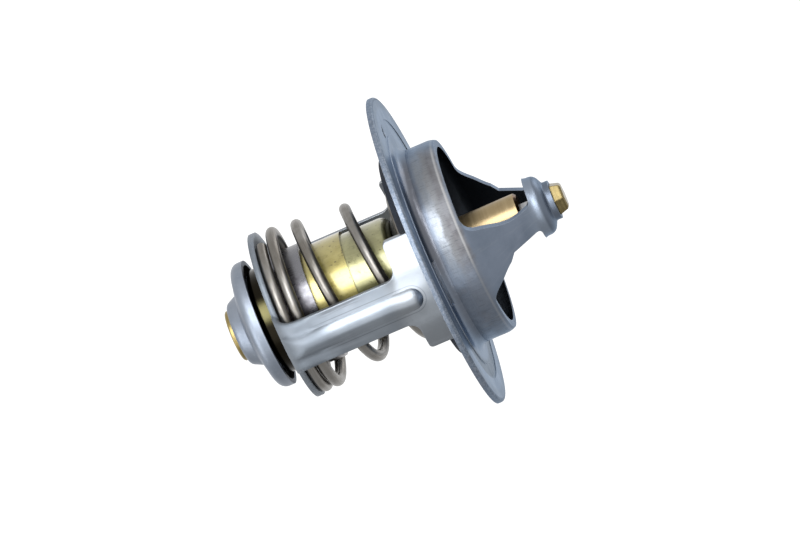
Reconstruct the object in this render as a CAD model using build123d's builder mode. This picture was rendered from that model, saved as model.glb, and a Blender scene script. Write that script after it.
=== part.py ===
from build123d import *
import math
import os

os.makedirs("parts", exist_ok=True)

# Engine thermostat with a bypass valve, in millimetres.
# The axis is Z, with the bridge's cap on top and the bypass valve at the bottom.
# The origin is the centre of the flange's underside, the face that sits on the housing.
# The two arms and the two legs lie along Y, and the windows open along X.

# Flange, bell and cap, drawn from one sheet
flange_diameter = 53.8
bridge_sheet = 1.0
rim_edge_radius = 0.45
bell_diameter = 33.8
bell_foot_radius = 1.45
bell_shoulder_radius = 3.2
shoulder_height = 7.32
sill_height = 7.38
cap_diameter = 10.1
cap_underside = 17.82
cap_wall_height = 1.85
cap_crown_rise = 0.85
cap_corner_radius = 1.5
cap_foot_radius = 1.6
boss_diameter = 6.6
boss_height = 1.0
boss_foot_radius = 0.35
vent_diameter = 2.3
vent_circle_diameter = 44.0
groove_inner_diameter = 40.6
groove_outer_diameter = 45.8
groove_depth = 0.12

# Outline of an arm, seen from the front: one edge sweeps up smoothly, the other has a nick
# Distances are from the arm's middle, and heights are above the sill
arm_half_width = 2.2
smooth_foot = 8.0
smooth_knee = 4.45
smooth_knee_height = 2.9
smooth_neck_height = 8.6
nicked_foot = 7.6
nicked_knee = 4.75
nicked_knee_height = 2.3
nicked_lean = 0.4
nick_half_width = 3.2
nick_low = 4.6
nick_high = 5.55
arm_head_radius = 0.8

# Lower frame, one stamping
frame_sheet = 0.9
frame_depth = 26.73
ring_diameter = 28.7
leg_width = 8.05
leg_flare = 1.1
leg_flare_height = 5.0
leg_bend_radius = 3.3
shoulder_width = 19.5
shoulder_depth = 5.28
shoulder_corner_radius = 0.7
shoulder_fillet = 1.8
tab_width = 8.0
slot_clearance = 0.1
rib_radius = 2.1
rib_height = 1.1
rib_top = 4.4
collar_height = 6.95
collar_bend_radius = 1.3

# Main valve
seal_overlap = 0.2
seal_seat_gap = 0.03
seal_cover = 0.94
seal_width = 3.5
seal_lip = 0.6
seal_lip_width = 1.5
seal_skirt = 2.7
seal_rounding = 0.5
shoulder_gap = 0.3
plate_sheet = 0.9
plate_dish_depth = 3.3
plate_dish_diameter = 21.8
plate_hub_diameter = 15.2
plate_bend_radius = 1.2
ring_clip_diameter = 11.6
ring_clip_height = 1.3
ring_clip_rounding = 0.45

# Wax element
case_diameter = 16.96
case_wall = 0.6
case_corner_radius = 1.9
case_exposed = 8.31
case_overlap = 3.0
cup_diameter = 18.0
cup_drop = 3.05
cup_floor = 2.2
cup_corner_radius = 1.0
collar_clearance = 0.08
assembly_gap = 0.02
guide_diameter = 7.1
guide_rise = 20.52
guide_chamfer = 0.45
guide_flange_thickness = 1.5
washer_thickness = 0.8
boot_flange_thickness = 1.2
boot_diameter = 6.0
boot_floor = 1.0
boot_end_room = 0.7
rod_diameter = 3.0
rod_clearance = 0.05
rod_length = 43.0
rod_chamfer = 0.3
nut_shank_below = 0.75
hexagon_height = 1.7
hexagon_base_diameter = 5.8
hexagon_end_diameter = 4.7
hexagon_turn = 20
hexagon_end_chamfer = 0.25

# Bypass valve
bypass_sheet = 0.8
bypass_diameter = 21.8
bypass_rim_height = 2.1
bypass_cone_rise = 1.15
bypass_boss_foot_diameter = 12.5
bypass_boss_diameter = 10.4
bypass_boss_height = 2.15
bypass_corner_radius = 1.5
bypass_foot_radius = 0.4
bypass_boss_radius = 1.1
bypass_spring_length = 4.25
stem_diameter = 4.0
stem_clearance = 0.06
stem_depth = 1.3
head_diameter = 8.7
head_thickness = 0.65
head_chamfer = 0.2

# Main spring
wire = 1.9
spring_turns = 4.65
spring_seat_turns = 0.6
spring_lapped_turns = 1.47
spring_middle_turns = 2.97
spring_middle_share = 0.61
spring_end_turns = 0.9
spring_lap_gap = 0.2
spring_edge_gap = 0.2
spring_dish_gap = 0.15
spring_taper_turns = 2.6
spring_start_angle = 190

# Bypass spring
bypass_wire = 0.7
bypass_turns = 3.0
bypass_seat_turns = 0.4
bypass_coil_diameter = 7.9
bypass_start_angle = 0

points_per_turn = 12

# Radii and heights that follow from the sizes above
bell_radius = bell_diameter / 2
cap_radius = cap_diameter / 2
boss_radius = boss_diameter / 2
seal_radius = bell_radius + seal_overlap
frame_inner_radius = seal_radius + shoulder_gap
frame_outer_radius = frame_inner_radius + frame_sheet
cap_top = cap_underside + cap_wall_height + cap_crown_rise
boss_top = cap_top + boss_height
boss_bore_radius = boss_radius - bridge_sheet
shank_bottom = cap_underside + cap_wall_height - bridge_sheet - nut_shank_below

ring_bottom = -frame_depth
ring_top = ring_bottom + frame_sheet
ring_radius = ring_diameter / 2
rib_axis = frame_outer_radius + rib_height - rib_radius
rib_bend_radius = leg_bend_radius + rib_height
cup_radius = cup_diameter / 2
case_radius = case_diameter / 2
collar_inner_radius = cup_radius + collar_clearance

# The seal's rounded corner rests on the round throat under the bell
throat_radius = bell_foot_radius + bridge_sheet
seal_offset = throat_radius + seal_rounding - bridge_sheet - seal_overlap
seal_reach = throat_radius + seal_rounding + seal_seat_gap
seal_crown = throat_radius + seal_rounding - math.sqrt(seal_reach**2 - seal_offset**2)

plate_top = seal_crown - seal_cover
plate_underside = plate_top - plate_sheet
case_top = plate_underside - plate_dish_depth
cup_rim = case_top - case_exposed
case_end = cup_rim - case_overlap
cup_bottom = ring_bottom - cup_drop
case_inner_radius = case_radius - case_wall
cup_bore_radius = case_radius + assembly_gap
guide_radius = guide_diameter / 2
rod_radius = rod_diameter / 2
rod_bore_radius = rod_radius + rod_clearance
rod_top = boss_top - assembly_gap
rod_bottom = rod_top - rod_length
guide_flange_top = case_top - case_wall
washer_top = guide_flange_top - guide_flange_thickness
boot_top = washer_top - washer_thickness
wax_top = boot_top - boot_flange_thickness
wax_bottom = cup_bottom + cup_floor
inner_fit_radius = case_inner_radius - assembly_gap
guide_flange_radius = inner_fit_radius - (case_corner_radius - case_wall)
boot_bottom = rod_bottom - boot_end_room - boot_floor
boot_radius = boot_diameter / 2

boss_floor_bottom = cup_bottom - bypass_spring_length - bypass_sheet
boss_foot_height = boss_floor_bottom + bypass_boss_height
cone_edge_height = boss_foot_height + bypass_cone_rise
stem_radius = stem_diameter / 2

spring_low = ring_top + assembly_gap + wire / 2
spring_lap = spring_low + wire + spring_lap_gap
spring_high = plate_underside - assembly_gap - wire / 2
spring_middle = spring_lap + spring_middle_share * (spring_high - spring_lap)
coil_radius_low = ring_radius - spring_edge_gap - wire / 2
coil_radius_high = plate_dish_diameter / 2 + spring_dish_gap + wire / 2
bypass_spring_low = boss_floor_bottom + bypass_sheet + assembly_gap + bypass_wire / 2
bypass_spring_high = cup_bottom - assembly_gap - bypass_wire / 2
bypass_coil_radius = (bypass_coil_diameter - bypass_wire) / 2


def sheet_outline(corners, radii, thickness):
    """Closed outline of bent sheet: one face follows the corners, the other lies to their left."""
    near = [Vector(*corner) for corner in corners]
    runs = [(end - start).normalized() for start, end in zip(near, near[1:])]
    sides = [Vector(-run.Y, run.X) for run in runs]
    far = [near[0] + sides[0] * thickness]
    far_radii = []
    for corner, radius, run_in, run_out, side_in, side_out in zip(
        near[1:-1], radii, runs, runs[1:], sides, sides[1:]
    ):
        far.append(corner + (side_in + side_out) * (thickness / (1 + side_in.dot(side_out))))
        turns_left = run_in.cross(run_out).Z > 0
        far_radii.append(radius - thickness if turns_left else radius + thickness)
    far.append(near[-1] + sides[-1] * thickness)
    FilletPolyline(*near, radius=radii)
    FilletPolyline(*reversed(far), radius=list(reversed(far_radii)))
    Line(near[-1], far[-1])
    Line(far[0], near[0])


def height_at(knots, turn):
    """Height at a turn on straight runs between knots of turn and height."""
    for (turn_a, height_a), (turn_b, height_b) in zip(knots, knots[1:]):
        if turn <= turn_b:
            break
    share = min(max((turn - turn_a) / (turn_b - turn_a), 0), 1)
    return height_a + (height_b - height_a) * share


def coil_points(knots, radius_low, radius_high, taper_start, taper_end, start_angle):
    """Points along a coil that follows the knots, with their corners eased over one step."""
    points = []
    last_turn = knots[-1][0]
    steps = math.ceil(last_turn * points_per_turn)
    for step in range(steps + 1):
        turns = [last_turn * (step + shift) / steps for shift in (-1, 0, 1)]
        height = sum(height_at(knots, turn) for turn in turns) / len(turns)
        share = min(max((turns[1] - taper_start) / (taper_end - taper_start), 0), 1)
        radius = radius_low + (radius_high - radius_low) * share * share * (3 - 2 * share)
        angle = math.radians(start_angle) + 2 * math.pi * turns[1]
        points.append((radius * math.cos(angle), radius * math.sin(angle), height))
    return points


def rib_bars(inset):
    """Bars with a ball end on top that cut the two ribs. Below they fade out round a wider bend."""
    edge = frame_outer_radius + rib_height + assembly_gap - inset
    foot = ring_bottom + inset
    with BuildPart() as bars:
        with BuildSketch(Plane.XY.offset(foot)):
            with Locations((0, -rib_axis)):
                Circle(rib_radius - inset)
        extrude(amount=-rib_top - foot)
        with Locations((0, -rib_axis, -rib_top)):
            Sphere(rib_radius - inset)
        with BuildSketch(Plane.YZ):
            with BuildLine():
                FilletPolyline((0, foot), (-edge, foot), (-edge, 0), radius=[rib_bend_radius - inset])
                Polyline((-edge, 0), (0, 0), (0, foot))
            make_face()
        extrude(amount=rib_radius, both=True, mode=Mode.INTERSECT)
        mirror(about=Plane.XZ)
    return bars.part


rib_outside = rib_bars(0)
rib_hollow = rib_bars(frame_sheet)

# Flange, bell, arms and cap
with BuildPart() as flange_bridge:
    with BuildSketch(Plane.XZ) as bridge_section:
        with BuildLine():
            sheet_outline(
                [
                    (flange_diameter / 2, bridge_sheet),
                    (bell_radius, bridge_sheet),
                    (bell_radius, shoulder_height),
                    (cap_radius, cap_underside),
                    (cap_radius, cap_underside + cap_wall_height),
                    (boss_radius, cap_top),
                    (boss_radius, boss_top),
                ],
                [
                    bell_foot_radius,
                    bell_shoulder_radius,
                    cap_foot_radius,
                    cap_corner_radius,
                    boss_foot_radius,
                ],
                bridge_sheet,
            )
        make_face()
        rim_corner = (flange_diameter / 2, bridge_sheet)
        fillet(bridge_section.vertices().sort_by_distance(rim_corner)[0], rim_edge_radius)
    revolve(axis=Axis.Z)
    # Shallow coined ring on the flange's upper face
    with BuildSketch(Plane.XY.offset(bridge_sheet)):
        Circle(groove_outer_diameter / 2)
        Circle(groove_inner_diameter / 2, mode=Mode.SUBTRACT)
    extrude(amount=-groove_depth, mode=Mode.SUBTRACT)
    # The two windows, which leave the arms. Each arm is cut from its own side, and they are alike
    for front in (Plane.XZ, Plane(origin=(0, 0, 0), x_dir=(-1, 0, 0), z_dir=(0, 1, 0))):
        with BuildSketch(front) as smooth_side:
            with BuildLine():
                foot = (-smooth_foot, sill_height)
                knee = (-smooth_knee, sill_height + smooth_knee_height)
                neck = (-arm_half_width, sill_height + smooth_neck_height)
                Spline(foot, knee, neck, tangents=[(1, 0), (0, 1)])
                Polyline(
                    neck,
                    (-arm_half_width, cap_underside),
                    (-bell_radius, cap_underside),
                    (-bell_radius, sill_height),
                    foot,
                )
            make_face()
            head = (-arm_half_width, cap_underside)
            fillet(smooth_side.vertices().sort_by_distance(head)[0], arm_head_radius)
        extrude(amount=bell_radius, mode=Mode.SUBTRACT)
        with BuildSketch(front) as nicked_side:
            with BuildLine():
                foot = (nicked_foot, sill_height)
                knee = (nicked_knee, sill_height + nicked_knee_height)
                nick = (nick_half_width, sill_height + nick_low)
                Spline(foot, knee, nick, tangents=[(-1, 0), (-nicked_lean, 1)])
                Polyline(
                    nick,
                    (arm_half_width, sill_height + nick_high),
                    (arm_half_width, cap_underside),
                    (bell_radius, cap_underside),
                    (bell_radius, sill_height),
                    foot,
                )
            make_face()
            head = (arm_half_width, cap_underside)
            fillet(nicked_side.vertices().sort_by_distance(head)[0], arm_head_radius)
        extrude(amount=bell_radius, mode=Mode.SUBTRACT)
    # Slots for the lower frame's tabs
    with BuildSketch(Plane.XY.offset(-bridge_sheet)):
        Circle(frame_outer_radius + slot_clearance)
        Circle(frame_inner_radius - slot_clearance, mode=Mode.SUBTRACT)
        Rectangle(tab_width + 2 * slot_clearance, flange_diameter, mode=Mode.INTERSECT)
    extrude(amount=2 * bridge_sheet + bell_foot_radius, mode=Mode.SUBTRACT)
    # Vent hole
    with Locations((-vent_circle_diameter / 2, 0, bridge_sheet)):
        Hole(vent_diameter / 2)

# Lower frame: tabs, shoulders, ribbed legs, ring and guide collar
with BuildPart() as lower_frame:
    with BuildSketch(Plane.XZ):
        with BuildLine():
            sheet_outline(
                [
                    (collar_inner_radius + collar_bend_radius, ring_bottom),
                    (frame_outer_radius, ring_bottom),
                    (frame_outer_radius, bridge_sheet),
                ],
                [leg_bend_radius],
                frame_sheet,
            )
        make_face()
    revolve(axis=Axis.Z)
    # Outline of a leg from the front
    with BuildSketch(Plane.XZ) as leg_outline:
        with BuildLine():
            Polyline(
                (leg_width / 2, ring_bottom + leg_flare_height),
                (leg_width / 2, -shoulder_depth),
                (shoulder_width / 2, -shoulder_depth),
                (shoulder_width / 2, 0),
                (tab_width / 2, 0),
                (tab_width / 2, bridge_sheet),
                (0, bridge_sheet),
                (0, ring_bottom),
                (leg_width / 2 + leg_flare, ring_bottom),
            )
            Spline(
                (leg_width / 2 + leg_flare, ring_bottom),
                (leg_width / 2, ring_bottom + leg_flare_height),
                tangents=[(-1, 1), (0, 1)],
            )
        make_face()
        fillet(leg_outline.vertices().sort_by_distance((shoulder_width / 2, -shoulder_depth))[0],
               shoulder_corner_radius)
        fillet(leg_outline.vertices().sort_by_distance((leg_width / 2, -shoulder_depth))[0],
               shoulder_fillet)
        mirror(about=Plane.YZ)
    extrude(amount=frame_outer_radius, both=True, mode=Mode.INTERSECT)
    # Ribs pressed outward from the legs, cleared from inside the legs and hollow behind
    add(rib_outside)
    with BuildSketch(Plane.XZ):
        with BuildLine():
            FilletPolyline(
                (0, ring_top),
                (frame_inner_radius, ring_top),
                (frame_inner_radius, bridge_sheet),
                radius=[leg_bend_radius - frame_sheet],
            )
            Polyline((frame_inner_radius, bridge_sheet), (0, bridge_sheet), (0, ring_top))
        make_face()
    revolve(axis=Axis.Z, mode=Mode.SUBTRACT)
    add(rib_hollow, mode=Mode.SUBTRACT)
    # Spring ring with its upturned collar
    with BuildSketch(Plane.XZ):
        with BuildLine():
            sheet_outline(
                [
                    (collar_inner_radius, ring_bottom + collar_height),
                    (collar_inner_radius, ring_bottom),
                    (ring_radius, ring_bottom),
                ],
                [collar_bend_radius],
                frame_sheet,
            )
        make_face()
    revolve(axis=Axis.Z)

# Brass bush in the cap, with a tapered hexagon outside
with BuildPart() as tip_nut:
    with BuildSketch(Plane.XY.offset(boss_top)):
        RegularPolygon(hexagon_base_diameter / 2, 6, rotation=hexagon_turn)
    with BuildSketch(Plane.XY.offset(boss_top + hexagon_height)):
        RegularPolygon(hexagon_end_diameter / 2, 6, rotation=hexagon_turn)
    loft()
    chamfer(tip_nut.faces().sort_by(Axis.Z)[-1].edges(), hexagon_end_chamfer)
    with BuildSketch(Plane.XY.offset(shank_bottom)):
        Circle(boss_bore_radius - assembly_gap)
    extrude(amount=boss_top - shank_bottom)
    with BuildSketch(Plane.XY.offset(shank_bottom)):
        Circle(rod_radius + assembly_gap)
    extrude(amount=rod_top - shank_bottom, mode=Mode.SUBTRACT)

# Steel rod that the element slides along
with BuildPart() as piston_rod:
    with BuildSketch(Plane.XY.offset(rod_bottom)):
        Circle(rod_radius)
    extrude(amount=rod_length)
    chamfer(piston_rod.faces().sort_by(Axis.Z)[0].edges(), rod_chamfer)

# Conical spring between the ring and the valve plate
with BuildPart() as main_spring:
    with BuildLine() as coil_line:
        Spline(
            *coil_points(
                [
                    (0, spring_low),
                    (spring_seat_turns, spring_low),
                    (1, spring_lap),
                    (spring_lapped_turns, spring_lap),
                    (spring_middle_turns, spring_middle),
                    (spring_turns - spring_end_turns, spring_high),
                    (spring_turns, spring_high),
                ],
                coil_radius_low,
                coil_radius_high,
                spring_lapped_turns,
                spring_taper_turns,
                spring_start_angle,
            )
        )
    with BuildSketch(Plane(origin=coil_line.line @ 0, z_dir=coil_line.line % 0)):
        Circle(wire / 2)
    sweep(path=coil_line.line)

# Deep brass cup that holds the wax
with BuildPart() as wax_cup:
    with BuildSketch(Plane.XY.offset(cup_bottom)):
        Circle(cup_radius)
    extrude(amount=cup_rim - cup_bottom)
    fillet(wax_cup.faces().sort_by(Axis.Z)[0].edges(), cup_corner_radius)
    with BuildSketch(Plane.XY.offset(wax_bottom)):
        Circle(cup_bore_radius)
    extrude(amount=cup_rim - wax_bottom, mode=Mode.SUBTRACT)
    # Blind hole for the rivet's stem
    with BuildSketch(Plane.XY.offset(cup_bottom)):
        Circle(stem_radius + assembly_gap)
    extrude(amount=stem_depth, mode=Mode.SUBTRACT)

# Upper case, pressed into the cup's mouth
with BuildPart() as upper_case:
    with BuildSketch(Plane.XZ):
        with BuildLine():
            sheet_outline(
                [
                    (case_radius, case_end),
                    (case_radius, case_top),
                    (guide_radius + assembly_gap, case_top),
                ],
                [case_corner_radius],
                case_wall,
            )
        make_face()
    revolve(axis=Axis.Z)

# Guide tube with the flange that the upper case holds
with BuildPart() as guide_sleeve:
    with BuildSketch(Plane.XY.offset(washer_top)):
        Circle(guide_flange_radius)
    extrude(amount=guide_flange_thickness)
    with BuildSketch(Plane.XY.offset(guide_flange_top)):
        Circle(guide_radius)
    extrude(amount=case_top + guide_rise - guide_flange_top)
    chamfer(guide_sleeve.faces().sort_by(Axis.Z)[-1].edges(), guide_chamfer)
    with BuildSketch(Plane.XY.offset(washer_top)):
        Circle(rod_bore_radius)
    extrude(amount=case_top + guide_rise - washer_top, mode=Mode.SUBTRACT)

# Stiff washer that backs the boot
with BuildPart() as backup_washer:
    with BuildSketch(Plane.XY.offset(boot_top)):
        Circle(inner_fit_radius)
        Circle(rod_bore_radius, mode=Mode.SUBTRACT)
    extrude(amount=washer_thickness)

# Rubber boot round the rod's end
with BuildPart() as rubber_boot:
    with BuildSketch(Plane.XY.offset(wax_top)):
        Circle(inner_fit_radius)
    extrude(amount=boot_flange_thickness)
    with BuildSketch(Plane.XY.offset(boot_bottom)):
        Circle(boot_radius)
    extrude(amount=wax_top - boot_bottom)
    fillet(rubber_boot.faces().sort_by(Axis.Z)[0].edges(), boot_floor)
    with BuildSketch(Plane.XY.offset(boot_bottom + boot_floor)):
        Circle(rod_bore_radius)
    extrude(amount=boot_top - boot_bottom - boot_floor, mode=Mode.SUBTRACT)

# Wax that fills the rest of the cup
with BuildPart() as wax_charge:
    with BuildSketch(Plane.XY.offset(wax_bottom)):
        Circle(case_radius)
    extrude(amount=case_end - wax_bottom)
    with BuildSketch(Plane.XY.offset(case_end)):
        Circle(inner_fit_radius)
    extrude(amount=wax_top - case_end)
    with BuildSketch(Plane.XY.offset(boot_bottom - assembly_gap)):
        Circle(boot_radius + assembly_gap)
    extrude(amount=wax_top - boot_bottom + assembly_gap, mode=Mode.SUBTRACT)

# Dished plate of the main valve
with BuildPart() as valve_plate:
    with BuildSketch(Plane.XZ):
        with BuildLine():
            sheet_outline(
                [
                    (guide_radius + assembly_gap, case_top),
                    (plate_hub_diameter / 2, case_top),
                    (plate_dish_diameter / 2, plate_underside),
                    (seal_radius - seal_lip, plate_underside),
                ],
                [plate_bend_radius + plate_sheet, plate_bend_radius],
                plate_sheet,
            )
        make_face()
    revolve(axis=Axis.Z)

# Rubber edge moulded round the plate's rim
with BuildPart() as valve_seal:
    with BuildSketch(Plane.XZ) as seal_section:
        with BuildLine():
            Polyline(
                (seal_radius - seal_width, plate_top),
                (seal_radius - seal_width, seal_crown),
                (seal_radius, seal_crown),
                (seal_radius, seal_crown - seal_skirt),
                (seal_radius - seal_lip_width, seal_crown - seal_skirt),
                (seal_radius - seal_lip_width, plate_underside),
                (seal_radius - seal_lip, plate_underside),
                (seal_radius - seal_lip, plate_top),
                close=True,
            )
        make_face()
        crown_corners = seal_section.vertices().group_by(Axis.Y)[-1]
        fillet(crown_corners, seal_rounding)
    revolve(axis=Axis.Z)

# Clip ring that holds the plate down on the upper case
with BuildPart() as plate_ring:
    with BuildSketch(Plane.XY.offset(case_top + plate_sheet)):
        Circle(ring_clip_diameter / 2)
        Circle(guide_radius + assembly_gap, mode=Mode.SUBTRACT)
    extrude(amount=ring_clip_height)
    outer_edges = plate_ring.faces().sort_by(Axis.Z)[-1].edges().sort_by(SortBy.RADIUS)
    fillet(outer_edges[-1], ring_clip_rounding)

# Stem and round head below the bypass disc
with BuildPart() as bypass_rivet:
    with BuildSketch(Plane.XY.offset(boss_floor_bottom - head_thickness)):
        Circle(head_diameter / 2)
    extrude(amount=head_thickness)
    chamfer(bypass_rivet.faces().sort_by(Axis.Z)[0].edges(), head_chamfer)
    with BuildSketch(Plane.XY.offset(boss_floor_bottom)):
        Circle(stem_radius)
    extrude(amount=cup_bottom + stem_depth - assembly_gap - boss_floor_bottom)

# Small spring inside the bypass disc's boss
with BuildPart() as bypass_spring:
    with BuildLine() as small_coil_line:
        Spline(
            *coil_points(
                [
                    (0, bypass_spring_low),
                    (bypass_seat_turns, bypass_spring_low),
                    (bypass_turns - bypass_seat_turns, bypass_spring_high),
                    (bypass_turns, bypass_spring_high),
                ],
                bypass_coil_radius,
                bypass_coil_radius,
                bypass_seat_turns,
                bypass_turns,
                bypass_start_angle,
            )
        )
    with BuildSketch(Plane(origin=small_coil_line.line @ 0, z_dir=small_coil_line.line % 0)):
        Circle(bypass_wire / 2)
    sweep(path=small_coil_line.line)

# Bypass disc: rim, shallow cone and boss, drawn from one sheet
with BuildPart() as bypass_disc:
    with BuildSketch(Plane.XZ):
        with BuildLine():
            sheet_outline(
                [
                    (stem_radius + stem_clearance, boss_floor_bottom),
                    (bypass_boss_diameter / 2, boss_floor_bottom),
                    (bypass_boss_foot_diameter / 2, boss_foot_height),
                    (bypass_diameter / 2, cone_edge_height),
                    (bypass_diameter / 2, cone_edge_height + bypass_rim_height),
                ],
                [bypass_boss_radius, bypass_foot_radius, bypass_corner_radius],
                bypass_sheet,
            )
        make_face()
    revolve(axis=Axis.Z)

pieces = {
    "flange_bridge": flange_bridge,
    "lower_frame": lower_frame,
    "tip_nut": tip_nut,
    "piston_rod": piston_rod,
    "main_spring": main_spring,
    "wax_cup": wax_cup,
    "upper_case": upper_case,
    "guide_sleeve": guide_sleeve,
    "backup_washer": backup_washer,
    "rubber_boot": rubber_boot,
    "wax_charge": wax_charge,
    "valve_plate": valve_plate,
    "valve_seal": valve_seal,
    "plate_ring": plate_ring,
    "bypass_rivet": bypass_rivet,
    "bypass_spring": bypass_spring,
    "bypass_disc": bypass_disc,
}
for name, piece in pieces.items():
    piece.part.label = name
    export_step(piece.part, f"parts/{name}.step")
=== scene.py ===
"""Looks of an engine thermostat with a bypass valve: steel, brass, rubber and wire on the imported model."""
import math

import bpy
import numpy as np
from mathutils import Matrix, Vector


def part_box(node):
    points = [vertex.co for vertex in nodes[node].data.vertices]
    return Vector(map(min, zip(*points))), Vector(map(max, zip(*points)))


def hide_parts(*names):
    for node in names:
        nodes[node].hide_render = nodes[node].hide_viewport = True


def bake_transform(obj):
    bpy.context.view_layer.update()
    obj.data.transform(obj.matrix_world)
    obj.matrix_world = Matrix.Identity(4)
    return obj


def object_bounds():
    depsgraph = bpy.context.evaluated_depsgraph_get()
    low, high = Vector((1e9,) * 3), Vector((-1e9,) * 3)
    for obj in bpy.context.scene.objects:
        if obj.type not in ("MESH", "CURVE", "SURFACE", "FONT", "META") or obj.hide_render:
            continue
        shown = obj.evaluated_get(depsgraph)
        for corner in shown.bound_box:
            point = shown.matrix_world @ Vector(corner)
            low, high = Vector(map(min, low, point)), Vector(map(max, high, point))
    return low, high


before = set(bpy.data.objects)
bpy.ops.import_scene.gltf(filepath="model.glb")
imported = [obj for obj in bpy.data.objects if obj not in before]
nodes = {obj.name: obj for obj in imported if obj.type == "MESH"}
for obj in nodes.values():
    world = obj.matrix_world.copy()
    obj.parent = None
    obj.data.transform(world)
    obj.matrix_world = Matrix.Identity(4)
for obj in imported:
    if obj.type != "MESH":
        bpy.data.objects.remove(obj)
cad_low, cad_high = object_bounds()
scene = bpy.context.scene
scene.view_settings.view_transform = "Standard"

MM = 0.001


# Node helpers


def put(tree, kind, sockets=None, **settings):
    """Adds a node. Settings are its properties, and sockets take a number, a colour or a node's output."""
    made = tree.nodes.new(kind)
    for name, value in settings.items():
        setattr(made, name, value)
    for name, value in (sockets or {}).items():
        if isinstance(value, bpy.types.NodeSocket):
            tree.links.new(value, made.inputs[name])
        else:
            made.inputs[name].default_value = value
    return made


def maths(tree, operation, a, b=0.0):
    """The result of one sum on numbers."""
    return put(tree, "ShaderNodeMath", {0: a, 1: b}, operation=operation).outputs[0]


def product(tree, first, *others):
    """All the factors multiplied."""
    for factor in others:
        first = maths(tree, "MULTIPLY", first, factor)
    return first


def total(tree, first, *others):
    """All the terms added."""
    for term in others:
        first = maths(tree, "ADD", first, term)
    return first


def vector(tree, operation, a, b=(0, 0, 0)):
    """The result of one sum on vectors, which is a number for a length or a dot product."""
    outputs = put(tree, "ShaderNodeVectorMath", {0: a, 1: b}, operation=operation).outputs
    return outputs["Value" if operation in ("LENGTH", "DOT_PRODUCT") else "Vector"]


def parts_of(tree, where):
    """The X, Y and Z of a vector."""
    return put(tree, "ShaderNodeSeparateXYZ", {0: where}).outputs


def vector_of(tree, x, y, z=0.0):
    """A vector from its X, Y and Z."""
    return put(tree, "ShaderNodeCombineXYZ", {0: x, 1: y, 2: z}).outputs[0]


def off_axis(tree, where):
    """The part of a vector that lies across the part's axis."""
    parts = parts_of(tree, where)
    return vector_of(tree, parts[0], parts[1])


def spread(tree, value, low, high, to_low=0.0, to_high=1.0):
    """Maps low to high smoothly onto to_low to to_high, and holds the ends. Low may be the larger."""
    made = put(
        tree,
        "ShaderNodeMapRange",
        {"Value": value, "From Min": low, "From Max": high, "To Min": to_low, "To Max": to_high},
        interpolation_type="SMOOTHSTEP",
    )
    return made.outputs[0]


def beyond(tree, length, start, full):
    """0 at start and 1 at full, for a length in metres and limits in millimetres."""
    return spread(tree, length, start * MM, full * MM)


def between(tree, length, start, full, fade, end):
    """1 from full to fade, and 0 outside start and end, for a length in metres and limits in millimetres."""
    return product(tree, beyond(tree, length, start, full), beyond(tree, length, end, fade))


def tint(tree, share, first, second):
    """Mixes two colours by a share."""
    made = put(tree, "ShaderNodeMix", {0: share}, data_type="RGBA")
    for index, value in ((6, first), (7, second)):
        if isinstance(value, bpy.types.NodeSocket):
            tree.links.new(value, made.inputs[index])
        else:
            made.inputs[index].default_value = (*value, 1.0)
    return made.outputs[2]


def coats(tree, colour, *layers):
    """The colour under layers, each a share and a colour, with the last on top."""
    for share, shade in layers:
        colour = tint(tree, share, colour, shade)
    return colour


def noise(tree, where, scale, detail=3.0, roughness=0.55):
    """Plain noise from 0 to 1 at a scale per metre."""
    sockets = {"Vector": where, "Scale": scale, "Detail": detail, "Roughness": roughness}
    return put(tree, "ShaderNodeTexNoise", sockets).outputs[0]


def new_group(name, inputs, outputs):
    """An empty shader node group with named numbers and vectors going in and named values coming out."""
    tree = bpy.data.node_groups.new(name, "ShaderNodeTree")
    kinds = {"value": "NodeSocketFloat", "vector": "NodeSocketVector"}
    for label, kind in inputs:
        tree.interface.new_socket(label, in_out="INPUT", socket_type=kinds[kind])
    for label, kind in outputs:
        tree.interface.new_socket(label, in_out="OUTPUT", socket_type=kinds[kind])
    return tree, tree.nodes.new("NodeGroupInput").outputs, tree.nodes.new("NodeGroupOutput")


def use(tree, group, **sockets):
    """Places a node group in a material with its own values."""
    made = tree.nodes.new("ShaderNodeGroup")
    made.node_tree = group
    for name, value in sockets.items():
        if isinstance(value, bpy.types.NodeSocket):
            tree.links.new(value, made.inputs[name])
        else:
            made.inputs[name].default_value = value
    return made.outputs


# Effects that several finishes share


def make_edge_wear():
    """Where the surface turns sharply within the radius, and the normal rounded over that radius."""
    tree, given, result = new_group(
        "edge_wear", [("Radius", "value")], [("Edge", "value"), ("Normal", "vector")]
    )
    rounded = put(tree, "ShaderNodeBevel", {"Radius": given["Radius"]}, samples=6).outputs[0]
    plain = put(tree, "ShaderNodeNewGeometry").outputs["Normal"]
    along = vector(tree, "DOT_PRODUCT", rounded, plain)
    tree.links.new(spread(tree, along, 0.995, 0.9), result.inputs["Edge"])
    tree.links.new(rounded, result.inputs["Normal"])
    return tree


def make_fine_grain():
    """A fine height for bump, and sparse small flecks, from two sizes of noise."""
    tree, given, result = new_group(
        "fine_grain",
        [("Where", "vector"), ("Scale", "value")],
        [("Height", "value"), ("Fleck", "value")],
    )
    fine = noise(tree, given["Where"], given["Scale"], 4.0, 0.65)
    coarse = noise(tree, given["Where"], product(tree, given["Scale"], 0.37), 2.0, 0.5)
    height = total(tree, product(tree, fine, 0.65), product(tree, coarse, 0.35))
    tree.links.new(height, result.inputs["Height"])
    tree.links.new(spread(tree, coarse, 0.63, 0.74), result.inputs["Fleck"])
    return tree


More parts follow.
